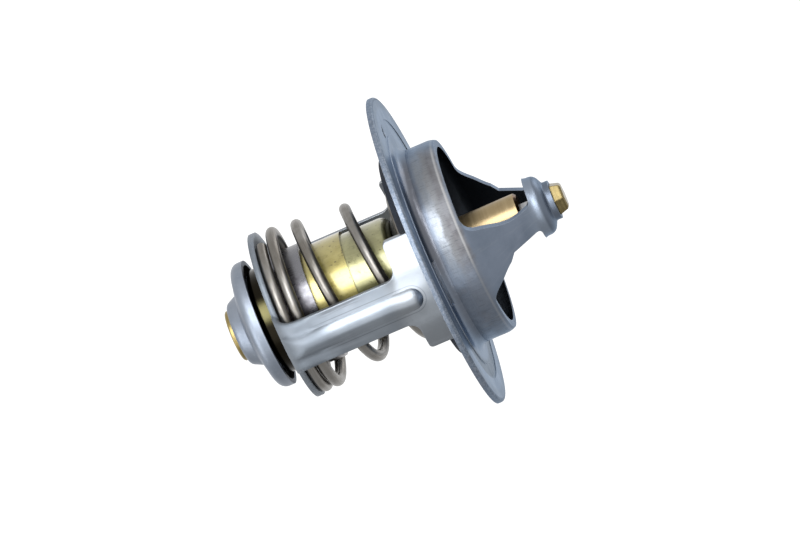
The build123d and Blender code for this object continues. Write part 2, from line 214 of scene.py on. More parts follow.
def make_mottling():
    """Cloudy patches, and a second set of broken stains that lies elsewhere."""
    tree, given, result = new_group(
        "mottling",
        [("Where", "vector"), ("Scale", "value")],
        [("Patch", "value"), ("Stain", "value")],
    )
    patch = noise(tree, given["Where"], given["Scale"], 4.0, 0.6)
    moved = vector(tree, "ADD", given["Where"], (0.31, 0.17, 0.53))
    stain = noise(tree, moved, product(tree, given["Scale"], 1.9), 6.0, 0.7)
    tree.links.new(spread(tree, patch, 0.38, 0.64), result.inputs["Patch"])
    tree.links.new(spread(tree, stain, 0.52, 0.7), result.inputs["Stain"])
    return tree


def make_drawn_lines():
    """Streaks along the axis of a wall drawn round it: noise of direction round the axis and of height."""
    tree, given, result = new_group(
        "drawn_lines",
        [("Where", "vector"), ("Around", "value"), ("Along", "value")],
        [("Line", "value")],
    )
    height = parts_of(tree, given["Where"])[2]
    ray = parts_of(tree, vector(tree, "NORMALIZE", off_axis(tree, given["Where"])))
    place = vector_of(
        tree,
        product(tree, ray[0], given["Around"]),
        product(tree, ray[1], given["Around"]),
        product(tree, height, given["Along"]),
    )
    tree.links.new(noise(tree, place, 1.0, 3.0, 0.6), result.inputs["Line"])
    return tree


def make_turned_lines():
    """Rings left by turning on a lathe: noise of distance from the axis and of height."""
    tree, given, result = new_group(
        "turned_lines", [("Where", "vector"), ("Scale", "value")], [("Line", "value")]
    )
    away = vector(tree, "LENGTH", off_axis(tree, given["Where"]))
    place = vector_of(tree, away, parts_of(tree, given["Where"])[2])
    tree.links.new(noise(tree, place, given["Scale"], 2.0, 0.5), result.inputs["Line"])
    return tree


EDGE_WEAR = make_edge_wear()
FINE_GRAIN = make_fine_grain()
MOTTLING = make_mottling()
DRAWN_LINES = make_drawn_lines()
TURNED_LINES = make_turned_lines()


# Finishes. Colours are linear

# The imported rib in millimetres: the radius of its bar, how far it stands proud of the frame, how far its ball
# end's centre lies below the flange's underside, and half its width at its foot
RIB_RADIUS = 2.1
RIB_HEIGHT = 1.1
RIB_TOP = 4.4
RIB_EDGE = 1.93
FRAME_RADIUS = -1000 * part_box("lower_frame")[0].y - RIB_HEIGHT

# The smooth ridge that the rib is made to look like: its height in millimetres, how fast it falls with the
# square of the distance, how much a distance past its top counts, and the bump's share of the difference
RIDGE_HEIGHT = 0.8
RIDGE_FALL = -0.196
RIDGE_END_SHARE = 0.5
RIDGE_SHARE = 0.5
# How many millimetres a shoulder's bump rises per metre across the leg
SHOULDER_LEAN = 115.0

# Direction across the axis in which the bell is stained and has its painted highlights, there and on the
# opposite side
STAIN_AND_HIGHLIGHT_SIDE = (-0.7, -0.71, 0)
# Direction of the painted glint on the cup's foot, which is painted dark as shade
GLINT_SIDE = (-0.5, -0.87, 0)


def start(name, metallic=1.0):
    """A new material with its shader, and the place on the piece in metres."""
    made = bpy.data.materials.new(name)
    made.use_nodes = True
    tree = made.node_tree
    shader = tree.nodes["Principled BSDF"]
    shader.inputs["Metallic"].default_value = metallic
    where = put(tree, "ShaderNodeTexCoord").outputs["Object"]
    return made, tree, shader, where


def finish(tree, shader, colour, roughness, height, depth, normal=None):
    """Joins colour, roughness and a bump of that depth in metres to the shader."""
    tree.links.new(colour, shader.inputs["Base Color"])
    tree.links.new(roughness, shader.inputs["Roughness"])
    sockets = {"Height": height, "Distance": depth, "Strength": 1.0}
    if normal is not None:
        sockets["Normal"] = normal
    bump = put(tree, "ShaderNodeBump", sockets)
    tree.links.new(bump.outputs[0], shader.inputs["Normal"])


def facing_axis(tree):
    """1 where a wall faces the part's axis, as inside the bell, and 0 on its outside."""
    coordinates = put(tree, "ShaderNodeTexCoord").outputs
    ray = vector(tree, "NORMALIZE", off_axis(tree, coordinates["Object"]))
    return spread(tree, vector(tree, "DOT_PRODUCT", ray, coordinates["Normal"]), -0.2, -0.5)


def bridge_steel():
    """Satin drawn steel, blue grey. On two sides the bell's wall has a painted highlight band low down and is
    stained brown and violet above, with fine scratches and a thin painted highlight under its corner. The
    flange has a dull margin, a coined ring with painted shade on one side, brighter blotches and a speckled
    rim. The cap is painted lighter as a painted highlight and its boss darker, and the inside has painted
    shade."""
    made, tree, shader, where = start("bridge_steel_finish")
    across, _, height = parts_of(tree, where)
    flat = off_axis(tree, where)
    away = vector(tree, "LENGTH", flat)
    side = vector(tree, "DOT_PRODUCT", vector(tree, "NORMALIZE", flat), STAIN_AND_HIGHLIGHT_SIDE)
    on_side = spread(tree, maths(tree, "ABSOLUTE", side), 0.62, 0.93)

    worn = use(tree, EDGE_WEAR, Radius=0.16 * MM)
    grain = use(tree, FINE_GRAIN, Where=where, Scale=4200.0)
    clouds = use(tree, MOTTLING, Where=where, Scale=150.0)
    drawn = use(tree, DRAWN_LINES, Where=where, Around=22.0, Along=160.0)["Line"]
    scratches = use(tree, DRAWN_LINES, Where=where, Around=110.0, Along=650.0)["Line"]
    turned = use(tree, TURNED_LINES, Where=where, Scale=4200.0)["Line"]

    # The flange
    on_flange = beyond(tree, height, 2.0, 1.4)
    on_top = product(tree, on_flange, beyond(tree, height, 0.6, 0.85))
    margin = product(tree, on_top, beyond(tree, away, 24.5, 25.3))
    blotches = product(tree, maths(tree, "SUBTRACT", on_top, margin), clouds["Stain"])
    # Painted shade: the coined ring's slope on the flange is painted dark on one side
    coined_ring_shade = product(
        tree, on_top, between(tree, away, 19.0, 20.2, 22.3, 23.1), beyond(tree, across, 6.0, 13.0)
    )
    rim = product(tree, beyond(tree, away, 26.3, 26.6), spread(tree, grain["Height"], 0.46, 0.56))

    # The bell's wall, upwards from its foot
    foot = product(
        tree,
        beyond(tree, height, 3.1, 2.2),
        beyond(tree, away, 20.0, 19.0),
        spread(tree, on_side, 0.0, 1.0, 0.3, 0.9),
    )
    # Painted highlight: a lighter band low on the bell's wall on two sides, with no change of roughness
    painted_highlight_band = product(tree, between(tree, height, 2.6, 3.6, 5.0, 6.0), on_side)
    wavy_height = total(tree, height, product(tree, noise(tree, where, 330.0, 7.0, 0.68), 2.2 * MM))
    stained = product(
        tree, between(tree, wavy_height, 5.2, 6.1, 7.9, 8.9), spread(tree, on_side, 0.0, 1.0, 0.15, 0.95)
    )
    stain = tint(tree, clouds["Patch"], (0.15, 0.144, 0.148), (0.215, 0.216, 0.228))
    spots = product(tree, clouds["Stain"], beyond(tree, height, 8.2, 7.0))
    streaks = product(tree, spread(tree, drawn, 0.5, 0.75, 0.0, 0.16), beyond(tree, height, 1.4, 2.4))
    scratched = product(tree, spread(tree, scratches, 0.54, 0.66), between(tree, height, 2.4, 3.2, 6.6, 7.4))
    # Painted highlight: a thin light line under the bell's corner, where its small rounding catches the light
    painted_corner_highlight = product(
        tree, between(tree, height, 6.55, 6.8, 6.85, 7.15), spread(tree, on_side, 0.0, 1.0, 0.25, 0.7)
    )
    on_arms = beyond(tree, height, 6.8, 7.8)
    on_cap = beyond(tree, height, 15.4, 18.6)
    on_boss = beyond(tree, height, 19.0, 19.4)

    colour = coats(
        tree,
        tint(tree, clouds["Patch"], (0.15, 0.18, 0.228), (0.176, 0.207, 0.26)),
        (stained, stain),
        (product(tree, on_flange, 0.5), (0.16, 0.2, 0.26)),
        (product(tree, margin, 0.5), (0.1, 0.115, 0.135)),
        (product(tree, blotches, 0.5), (0.3, 0.36, 0.42)),
        (product(tree, coined_ring_shade, 0.9), (0.045, 0.05, 0.055)),
        (foot, (0.125, 0.13, 0.148)),
        (product(tree, rim, 0.4), (0.36, 0.39, 0.44)),
        (product(tree, spots, 0.35), (0.15, 0.14, 0.145)),
        (streaks, (0.3, 0.32, 0.35)),
        (product(tree, painted_highlight_band, 0.6), (0.27, 0.28, 0.29)),
        (product(tree, scratched, 0.3), (0.1, 0.11, 0.13)),
        (painted_corner_highlight, (0.42, 0.42, 0.42)),
        # Painted highlight: the cap is painted lighter
        (product(tree, on_cap, 0.6), (0.26, 0.3, 0.36)),
        (product(tree, on_boss, 0.75), (0.1, 0.12, 0.155)),
        (product(tree, worn["Edge"], 0.3), (0.42, 0.45, 0.5)),
        # Painted shade: walls that face the axis, inside the bell, are painted dark
        (facing_axis(tree), (0.06, 0.07, 0.085)),
    )
    rough = total(
        tree,
        spread(tree, clouds["Patch"], 0.0, 1.0, 0.34, 0.3),
        product(tree, stained, 0.3),
        product(tree, scratched, 0.12),
        product(tree, on_arms, 0.2),
        product(tree, beyond(tree, away, 26.2, 26.5), 0.2),
        product(tree, on_cap, -0.12),
    )
    bumps = total(
        tree,
        product(tree, noise(tree, where, 300.0, 3.0, 0.5), 0.07 * MM),
        product(tree, turned, beyond(tree, height, 7.6, 7.0), 0.014 * MM),
        product(tree, grain["Height"], 0.015 * MM),
    )
    shader.inputs["Specular Tint"].default_value = (0.75, 0.86, 1.0, 1.0)
    finish(tree, shader, colour, rough, bumps, 1.0, worn["Normal"])
    return made


def soft_rib(tree, where, outside):
    """Three values for a leg's outside. The first is a height in metres: a share of what a smooth ridge, a
    bell curve across the leg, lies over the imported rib's round bar, and a slight lean across the shoulders.
    The second is 1 where the rib is, and the third is 1 on a thin line beside it. Above the rib's top,
    distances are taken from the centre of its ball end. They and the heights within are in millimetres."""
    x, y, z = parts_of(tree, where)
    above = maths(tree, "MAXIMUM", maths(tree, "SUBTRACT", z, -RIB_TOP * MM), 0.0)
    apart = maths(tree, "DIVIDE", vector(tree, "LENGTH", vector_of(tree, x, above)), MM)
    square = product(tree, apart, apart)
    bar = maths(tree, "SQRT", maths(tree, "MAXIMUM", maths(tree, "SUBTRACT", RIB_RADIUS**2, square), 0.0))
    bar = total(tree, bar, maths(tree, "DIVIDE", square, 2 * FRAME_RADIUS))
    bar = maths(tree, "MAXIMUM", maths(tree, "SUBTRACT", bar, RIB_RADIUS - RIB_HEIGHT), 0.0)
    bar = product(tree, bar, maths(tree, "LESS_THAN", apart, RIB_EDGE))

    stretched = vector_of(tree, x, product(tree, above, RIDGE_END_SHARE))
    square = maths(tree, "POWER", maths(tree, "DIVIDE", vector(tree, "LENGTH", stretched), MM), 2.0)
    ridge = product(tree, maths(tree, "EXPONENT", product(tree, square, RIDGE_FALL)), RIDGE_HEIGHT)

    upright = beyond(tree, z, -22.5, -17.0)
    on_leg = product(tree, outside, beyond(tree, maths(tree, "ABSOLUTE", y), 10.5, 11.0))
    over = product(tree, maths(tree, "SUBTRACT", ridge, bar), RIDGE_SHARE, upright)
    lean = product(tree, x, SHOULDER_LEAN, beyond(tree, z, -8.0, -5.0))
    height = product(tree, total(tree, over, lean), on_leg, MM)
    ribbed = product(tree, on_leg, upright, spread(tree, apart, 3.0, 2.4))
    line = product(tree, spread(tree, apart, 2.22, 2.32), spread(tree, apart, 2.46, 2.36), on_leg, upright)
    return height, ribbed, line


def frame_steel():
    """Bright pressed steel, smooth, with faint lengthwise marks, soft flanks on its ribs, shoulders painted
    lighter as a painted highlight, a thin line of painted shade beside each rib and a rubbed patch beside the
    rib. The guide collar is darker and glossier, and the bend at a leg's foot is duller."""
    made, tree, shader, where = start("frame_steel_finish")
    across, _, height = parts_of(tree, where)
    away = vector(tree, "LENGTH", off_axis(tree, where))
    worn = use(tree, EDGE_WEAR, Radius=spread(tree, height, -20.0 * MM, -22.0 * MM, 0.2 * MM, 1.4 * MM))
    grain = use(tree, FINE_GRAIN, Where=where, Scale=3600.0)
    clouds = use(tree, MOTTLING, Where=where, Scale=95.0)
    marks = noise(tree, vector(tree, "MULTIPLY", where, (1.0, 1.0, 0.05)), 1500.0, 3.0, 0.6)
    rib_bump, ribbed, line = soft_rib(tree, where, maths(tree, "SUBTRACT", 1.0, facing_axis(tree)))

    edge = product(
        tree, worn["Edge"], maths(tree, "SUBTRACT", 1.0, ribbed), beyond(tree, height, -22.0, -20.0)
    )
    rubbed = product(
        tree,
        between(tree, height, -20.0, -18.0, -13.5, -11.0),
        beyond(tree, across, -2.9, -3.3),
        spread(tree, marks, 0.47, 0.56),
    )
    on_collar = product(tree, beyond(tree, away, 11.4, 11.0), beyond(tree, height, -15.0, -17.0))
    collar_patches = spread(tree, noise(tree, where, 170.0, 4.0, 0.6), 0.4, 0.6)
    colour = coats(
        tree,
        tint(tree, clouds["Patch"], (0.2, 0.226, 0.258), (0.25, 0.278, 0.312)),
        # Painted highlight: the upper ends of the legs, the shoulders, are painted lighter
        (product(tree, beyond(tree, height, -9.0, -6.0), 0.4), (0.29, 0.3, 0.312)),
        (spread(tree, marks, 0.55, 0.75, 0.0, 0.14), (0.42, 0.45, 0.5)),
        (product(tree, clouds["Stain"], 0.15), (0.2, 0.2, 0.21)),
        (product(tree, edge, 0.35), (0.55, 0.58, 0.63)),
        # Painted shade: a thin dark line beside each rib, standing for the crease at its foot
        (product(tree, line, 0.4), (0.05, 0.055, 0.07)),
        (product(tree, rubbed, 0.6), (0.08, 0.085, 0.095)),
        # The guide collar is darker, in cloudy patches
        (on_collar, tint(tree, collar_patches, (0.085, 0.08, 0.09), (0.2, 0.2, 0.215))),
    )
    rough = total(
        tree,
        spread(tree, marks, 0.3, 0.75, 0.3, 0.37),
        product(tree, on_collar, -0.24),
        spread(tree, height, -17.0 * MM, -21.0 * MM, 0.0, 0.2),
    )
    bumps = total(
        tree,
        rib_bump,
        product(tree, noise(tree, where, 260.0, 2.0, 0.5), 0.05 * MM),
        product(tree, grain["Height"], 0.002 * MM),
    )
    plain = put(tree, "ShaderNodeNewGeometry").outputs["Normal"]
    normal = put(
        tree, "ShaderNodeMix", {0: ribbed, 4: worn["Normal"], 5: plain}, data_type="VECTOR"
    ).outputs[1]
    finish(tree, shader, colour, rough, bumps, 1.0, normal)
    return made


def bypass_steel():
    """Matte silver-blue steel of even fine grain, with painted shade inside its rim."""
    made, tree, shader, where = start("bypass_steel_finish")
    worn = use(tree, EDGE_WEAR, Radius=0.16 * MM)
    grain = use(tree, FINE_GRAIN, Where=where, Scale=5200.0)
    clouds = use(tree, MOTTLING, Where=where, Scale=160.0)
    colour = coats(
        tree,
        tint(tree, clouds["Patch"], (0.22, 0.25, 0.3), (0.26, 0.29, 0.34)),
        (product(tree, grain["Fleck"], 0.4), (0.34, 0.37, 0.42)),
        (product(tree, worn["Edge"], 0.5), (0.55, 0.58, 0.63)),
        # Painted shade: faces turned to the axis, inside the rim, are painted nearly black
        (facing_axis(tree), (0.012, 0.012, 0.013)),
    )
    rough = spread(tree, grain["Height"], 0.3, 0.7, 0.4, 0.5)
    finish(tree, shader, colour, rough, grain["Height"], 0.014 * MM, worn["Normal"])
    return made


def plate_steel():
    """Plain dark steel of the hidden valve plate, with turned rings."""
    made, tree, shader, where = start("plate_steel_finish")
    grain = use(tree, FINE_GRAIN, Where=where, Scale=3000.0)
    clouds = use(tree, MOTTLING, Where=where, Scale=140.0)
    rings = use(tree, TURNED_LINES, Where=where, Scale=2600.0)["Line"]
    colour = tint(tree, clouds["Patch"], (0.07, 0.073, 0.08), (0.11, 0.112, 0.12))
    colour = tint(tree, spread(tree, rings, 0.55, 0.75, 0.0, 0.4), colour, (0.16, 0.16, 0.17))
    rough = spread(tree, clouds["Patch"], 0.0, 1.0, 0.42, 0.52)
    finish(tree, shader, colour, rough, grain["Height"], 0.01 * MM)
    return made


def rod_steel():
    """Ground steel with faint rings."""
    made, tree, shader, where = start("rod_steel_finish")
    grain = use(tree, FINE_GRAIN, Where=where, Scale=6000.0)
    rings = use(tree, TURNED_LINES, Where=where, Scale=9000.0)["Line"]
    colour = tint(tree, spread(tree, rings, 0.4, 0.65), (0.3, 0.31, 0.32), (0.42, 0.43, 0.44))
    rough = spread(tree, rings, 0.3, 0.7, 0.28, 0.4)
    finish(tree, shader, colour, rough, grain["Height"], 0.003 * MM)
    return made


def darker(colour):
    """A little over half of a colour, for stains on it."""
    return tuple(0.55 * part for part in colour)


def cup_brass(name, dark, light):
    """Drawn brass under a thin clear film, tarnished to olive, with small dark spots. Below the spring's ring
    it is painted nearly black as painted shade, but for a painted glint on one side, and has no film."""
    made, tree, shader, where = start(name)
    worn = use(tree, EDGE_WEAR, Radius=0.12 * MM)
    grain = use(tree, FINE_GRAIN, Where=where, Scale=3400.0)
    clouds = use(tree, MOTTLING, Where=where, Scale=240.0)
    drawn = use(tree, DRAWN_LINES, Where=where, Around=18.0, Along=120.0)["Line"]
    # Painted shade: below the spring's ring the cup is painted nearly black
    painted_shade_foot = beyond(tree, parts_of(tree, where)[2], -25.0, -25.8)
    # Painted glint: a lighter spot on that dark foot, on the side towards the key light
    rubbed = beyond(tree, vector(tree, "DOT_PRODUCT", where, GLINT_SIDE), 8.6, 9.15)
    colour = coats(
        tree,
        tint(tree, clouds["Patch"], dark, light),
        (spread(tree, drawn, 0.5, 0.72, 0.0, 0.25), tuple(1.2 * part for part in light)),
        (product(tree, clouds["Stain"], 0.7), darker(dark)),
        (product(tree, grain["Fleck"], 0.7), (0.1, 0.085, 0.04)),
        (product(tree, worn["Edge"], 0.4), (0.55, 0.5, 0.28)),
        (painted_shade_foot, tint(tree, rubbed, (0.014, 0.012, 0.008), (0.085, 0.078, 0.036))),
    )
    rough = spread(tree, clouds["Patch"], 0.0, 1.0, 0.3, 0.36)
    rough = total(tree, rough, product(tree, painted_shade_foot, -0.1))
    tree.links.new(spread(tree, painted_shade_foot, 0.0, 1.0, 1.0, 0.0), shader.inputs["Coat Weight"])
    shader.inputs["Coat Roughness"].default_value = 0.13
    finish(tree, shader, colour, rough, grain["Height"], 0.02 * MM, worn["Normal"])
    return made


def turned_brass(name, dark, light, sheen_low, sheen_high, ring_scale, up_facing_brown=0.0, edge_darkening=None):
    """Machined brass: rings of turning between two tones, brighter along its edges or, given a darker edge
    colour, darker there. Faces that point up, at its upper end, can be made dark brown."""
    made, tree, shader, where = start(name)
    worn = use(tree, EDGE_WEAR, Radius=(0.3 if edge_darkening else 0.1) * MM)
    grain = use(tree, FINE_GRAIN, Where=where, Scale=5200.0)
    clouds = use(tree, MOTTLING, Where=where, Scale=260.0)
    rings = use(tree, TURNED_LINES, Where=where, Scale=ring_scale)["Line"]
    upward = parts_of(tree, put(tree, "ShaderNodeTexCoord").outputs["Normal"])[2]
    colour = coats(
        tree,
        tint(tree, spread(tree, rings, 0.35, 0.68), dark, light),
        (product(tree, clouds["Stain"], 0.3), darker(dark)),
        (product(tree, worn["Edge"], 0.7 if edge_darkening else 0.6), edge_darkening or tuple(1.5 * part for part in light)),
        (spread(tree, upward, 0.45, 0.65, 0.0, up_facing_brown), (0.1, 0.045, 0.02)),
    )
    rough = spread(tree, rings, 0.3, 0.7, sheen_low, sheen_high)
    finish(tree, shader, colour, rough, grain["Height"], 0.004 * MM, worn["Normal"])
    return made


def spring_wire():
    """Polished brown-grey wire with streaks that follow it, from the place round and along the wire."""
    made, tree, shader, where = start("spring_wire_finish")
    along = put(tree, "ShaderNodeAttribute", attribute_name="along_wire").outputs["Vector"]
    streaks = noise(tree, along, 1.0, 3.0, 0.6)
    slow = noise(tree, where, 190.0, 3.0, 0.6)
    colour = coats(
        tree,
        tint(tree, spread(tree, slow, 0.38, 0.62), (0.165, 0.152, 0.135), (0.23, 0.22, 0.205)),
        (spread(tree, streaks, 0.5, 0.75, 0.0, 0.4), (0.36, 0.355, 0.345)),
        (spread(tree, streaks, 0.4, 0.25, 0.0, 0.35), (0.1, 0.09, 0.08)),
    )
    rough = spread(tree, streaks, 0.3, 0.7, 0.36, 0.28)
    finish(tree, shader, colour, rough, streaks, 0.003 * MM)
    return made


def rubber(name, dark, light):
    """Black moulded rubber with a fine skin and faint bloom."""
    made, tree, shader, where = start(name, metallic=0.0)
    worn = use(tree, EDGE_WEAR, Radius=0.2 * MM)
    grain = use(tree, FINE_GRAIN, Where=where, Scale=5200.0)
    clouds = use(tree, MOTTLING, Where=where, Scale=180.0)
    colour = tint(tree, clouds["Patch"], dark, light)
    colour = tint(tree, product(tree, clouds["Stain"], 0.4), colour, tuple(1.6 * part for part in light))
    rough = spread(tree, grain["Height"], 0.3, 0.7, 0.55, 0.7)
    shader.inputs["Specular IOR Level"].default_value = 0.25
    finish(tree, shader, colour, rough, grain["Height"], 0.02 * MM, worn["Normal"])
    return made


def washer_plastic():
    """White low-friction plastic, faintly cloudy."""
    made, tree, shader, where = start("washer_plastic_finish", metallic=0.0)
    grain = use(tree, FINE_GRAIN, Where=where, Scale=4000.0)
    clouds = use(tree, MOTTLING, Where=where, Scale=200.0)
    colour = tint(tree, clouds["Patch"], (0.78, 0.78, 0.75), (0.86, 0.86, 0.84))
    rough = spread(tree, grain["Height"], 0.3, 0.7, 0.4, 0.5)
    finish(tree, shader, colour, rough, grain["Height"], 0.01 * MM)
    return made


def copper_wax():
    """Wax filled with copper powder: brown-orange with fine metal specks."""
    made, tree, shader, where = start("copper_wax_finish", metallic=0.0)
    grain = use(tree, FINE_GRAIN, Where=where, Scale=7000.0)
    clouds = use(tree, MOTTLING, Where=where, Scale=220.0)
    colour = tint(tree, clouds["Patch"], (0.4, 0.2, 0.09), (0.52, 0.28, 0.13))
    colour = tint(tree, grain["Fleck"], colour, (0.75, 0.45, 0.25))
    rough = spread(tree, grain["Height"], 0.3, 0.7, 0.45, 0.6)
    tree.links.new(product(tree, grain["Fleck"], 0.8), shader.inputs["Metallic"])
    finish(tree, shader, colour, rough, grain["Height"], 0.02 * MM)
    return made


# Coil springs, which replace the imported ones. Lengths are in
# millimetres, and the two STREAK values are how fast the wire's noise goes round and along it

ROWS_PER_TURN = 160
SIDES = 36
EASE_TURNS = 1 / 12
ROUNDING_SHARE = 0.16
CAP_ROWS = 6
STREAK_ROUND, STREAK_ALONG = 9, 0.35


def coil_spring(name, knots, radii, taper, start_angle, wire, weight_at):
    """A wire swept along a coil. The height follows the knots of turn and height, eased over a twelfth of a
    turn each way, the radius goes smoothly from the first to the second radius between the two taper turns,
    and the section is a circle across the path that shrinks to a point over a short quarter circle at each
    end. The weight of a point is that of its place along the wire."""
    last = knots[-1][0]
    turn = np.linspace(0.0, last, int(last * ROWS_PER_TURN) + 1)
    table = np.array(knots, float)
    shifts = np.linspace(-EASE_TURNS, EASE_TURNS, 9)
    height = sum(np.interp(turn + shift, table[:, 0], table[:, 1]) for shift in shifts) / len(shifts)
    share = np.clip((turn - taper[0]) / (taper[1] - taper[0]), 0, 1)
    radius = radii[0] + (radii[1] - radii[0]) * share * share * (3 - 2 * share)
    angle = math.radians(start_angle) + 2 * math.pi * turn
    centre = np.stack([radius * np.cos(angle), radius * np.sin(angle), height], 1)

    # Two directions across the wire at each row
    ahead = np.gradient(centre, axis=0)
    ahead /= np.linalg.norm(ahead, axis=1, keepdims=True)
    outward = np.stack([np.cos(angle), np.sin(angle), np.zeros_like(angle)], 1)
    outward -= ahead * (outward * ahead).sum(1, keepdims=True)
    outward /= np.linalg.norm(outward, axis=1, keepdims=True)
    upward = np.cross(ahead, outward)

    # Rows by length, with close ones at the rounded ends
    length = np.concatenate([[0.0], np.cumsum(np.linalg.norm(np.diff(centre, axis=0), axis=1))])
    rounding = ROUNDING_SHARE * wire
    from_end = np.minimum(length, length[-1] - length)
    cap = np.linspace(0.0, rounding, CAP_ROWS)
    stops = np.concatenate([cap, length[from_end > rounding * 1.05], length[-1] - cap[::-1]])
    centre, outward, upward = (
        np.stack([np.interp(stops, length, rows[:, k]) for k in range(3)], 1)
        for rows in (centre, outward, upward)
    )
    from_end = np.minimum(stops, stops[-1] - stops)
    inset = np.clip(1 - from_end / rounding, 0, 1)
    size = wire / 2 - rounding * (1 - np.sqrt(1 - inset**2))

    phi = np.linspace(0, 2 * math.pi, SIDES, endpoint=False)
    ring = np.cos(phi)[None, :, None] * outward[:, None, :] + np.sin(phi)[None, :, None] * upward[:, None, :]
    points = centre[:, None, :] + size[:, None, None] * ring
    count = len(stops)
    ends = centre[[0, -1]]
    points = np.concatenate([points.reshape(-1, 3), ends]) * MM

    row = np.arange(count - 1)[:, None] * SIDES
    side = np.arange(SIDES)[None, :]
    after = (side + 1) % SIDES
    quads = np.stack([row + side, row + after, row + SIDES + after, row + SIDES + side], 2).reshape(-1, 4)
    first_end, last_row = count * SIDES, (count - 1) * SIDES
    low_cap = np.stack([np.full(SIDES, first_end), after[0], side[0]], 1)
    high_cap = np.stack([np.full(SIDES, first_end + 1), last_row + side[0], last_row + after[0]], 1)
    mesh = bpy.data.meshes.new(name)
    mesh.from_pydata(points.tolist(), [], quads.tolist() + low_cap.tolist() + high_cap.tolist())
    mesh.polygons.foreach_set("use_smooth", np.ones(len(mesh.polygons), bool))

    # The place round and along the wire, for its streaks
    streak = np.empty((count, SIDES, 3))
    streak[:, :, 0] = np.cos(phi) * STREAK_ROUND
    streak[:, :, 1] = np.sin(phi) * STREAK_ROUND
    streak[:, :, 2] = stops[:, None] * STREAK_ALONG
    streak = np.concatenate([streak.reshape(-1, 3), [[0, 0, 0], [0, 0, stops[-1] * STREAK_ALONG]]])
    along = mesh.attributes.new("along_wire", "FLOAT_VECTOR", "POINT")
    along.data.foreach_set("vector", streak.astype(np.float32).ravel())
    weight = np.concatenate([np.repeat(weight_at(centre[:, 2]), SIDES), weight_at(ends[:, 2])])
    spring = bpy.data.objects.new(name, mesh)
    scene.collection.objects.link(spring)
    return spring, weight.astype(np.float32)


def closes_between(spring):
    """Bakes the spring's placement into its points."""
    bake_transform(spring)


# Conical: a seat on the frame's ring, a second turn lapped on it, a wide turn, a narrow one and the end turn
MAIN_WIRE = 1.9
MAIN_RADII = (13.2, 12.0)
MAIN_TAPER = (1.47, 2.6)
MAIN_START_ANGLE = 190
LAP_GAP = 0.2
MIDDLE_SHARE = 0.61
main_low, main_high = (1000 * corner.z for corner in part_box("main_spring"))
seat, top = main_low + MAIN_WIRE / 2, main_high - MAIN_WIRE / 2
lap = seat + MAIN_WIRE + LAP_GAP
middle = lap + MIDDLE_SHARE * (top - lap)
main_coil, main_weight = coil_spring(
    "main_coil",
    [(0, seat), (0.6, seat), (1, lap), (1.47, lap), (2.97, middle), (3.75, top), (4.65, top)],
    MAIN_RADII,
    MAIN_TAPER,
    MAIN_START_ANGLE,
    MAIN_WIRE,
    lambda height: np.clip((height - lap) / (top - lap), 0, 1),
)
closes_between(main_coil)
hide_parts("main_spring")

SMALL_WIRE = 0.7
SMALL_RADIUS = 3.6
small_low, small_high = (1000 * corner.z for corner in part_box("bypass_spring"))
small_seat, small_top = small_low + SMALL_WIRE / 2, small_high - SMALL_WIRE / 2
small_coil, small_weight = coil_spring(
    "bypass_coil",
    [(0, small_seat), (0.4, small_seat), (2.6, small_top), (3.0, small_top)],
    (SMALL_RADIUS, SMALL_RADIUS),
    (0.4, 3.0),
    0,
    SMALL_WIRE,
    lambda height: np.clip((small_top - height) / (small_top - small_seat), 0, 1),
)
closes_between(small_coil)
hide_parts("bypass_spring")


# Each piece gets its finish

plate_finish = plate_steel()
wire_finish = spring_wire()
finishes = {
    "flange_bridge": bridge_steel(),
    "lower_frame": frame_steel(),
    "tip_nut": turned_brass(
        "tip_brass_finish",
        (0.17, 0.135, 0.062),
        (0.27, 0.215, 0.1),
        0.2,
        0.28,
        3000.0,
        edge_darkening=(0.09, 0.06, 0.025),
    ),
    "piston_rod": rod_steel(),
    "wax_cup": cup_brass("cup_brass_finish", (0.33, 0.28, 0.09), (0.42, 0.365, 0.14)),
    "upper_case": cup_brass("case_brass_finish", (0.25, 0.24, 0.115), (0.34, 0.33, 0.17)),
    "guide_sleeve": turned_brass(
        "guide_brass_finish", (0.31, 0.235, 0.13), (0.35, 0.27, 0.155), 0.3, 0.36, 2600.0, up_facing_brown=0.85
    ),
    "backup_washer": washer_plastic(),
    "rubber_boot": rubber("boot_rubber_finish", (0.018, 0.018, 0.02), (0.03, 0.03, 0.032)),
    "wax_charge": copper_wax(),
    "valve_plate": plate_finish,
    "valve_seal": rubber("seal_rubber_finish", (0.012, 0.015, 0.022), (0.022, 0.027, 0.038)),
    "plate_ring": plate_finish,
    "bypass_rivet": turned_brass(
        "rivet_brass_finish", (0.26, 0.2, 0.08), (0.36, 0.29, 0.13), 0.32, 0.42, 4200.0
    ),
    "bypass_disc": bypass_steel(),
    "main_spring": wire_finish,
    "bypass_spring": wire_finish,
}
for node_name, node_finish in finishes.items():
    for slot in nodes[node_name].material_slots:
        slot.material = node_finish
for coil in (main_coil, small_coil):
    coil.data.materials.append(wire_finish)


# Camera at the photograph's angle: the part's axis rises to the right in the picture

AZIMUTH, ELEVATION, AXIS_RISE = math.radians(-18.3), math.radians(6.7), math.radians(23.25)
DISTANCE, FOCUS_PIXELS, WIDTH = 0.97, 5964.0, 800
AIM_HEIGHT, AIM_ASIDE = -6.055 * MM, 0.13 * MM
SENSOR_WIDTH = 36.0


def direction(azimuth, rise):
    """The direction away from the part at an azimuth round it from its front and a rise, both in radians."""
    return Vector(
        (math.sin(azimuth) * math.cos(rise), -math.cos(azimuth) * math.cos(rise), math.sin(rise))
    )


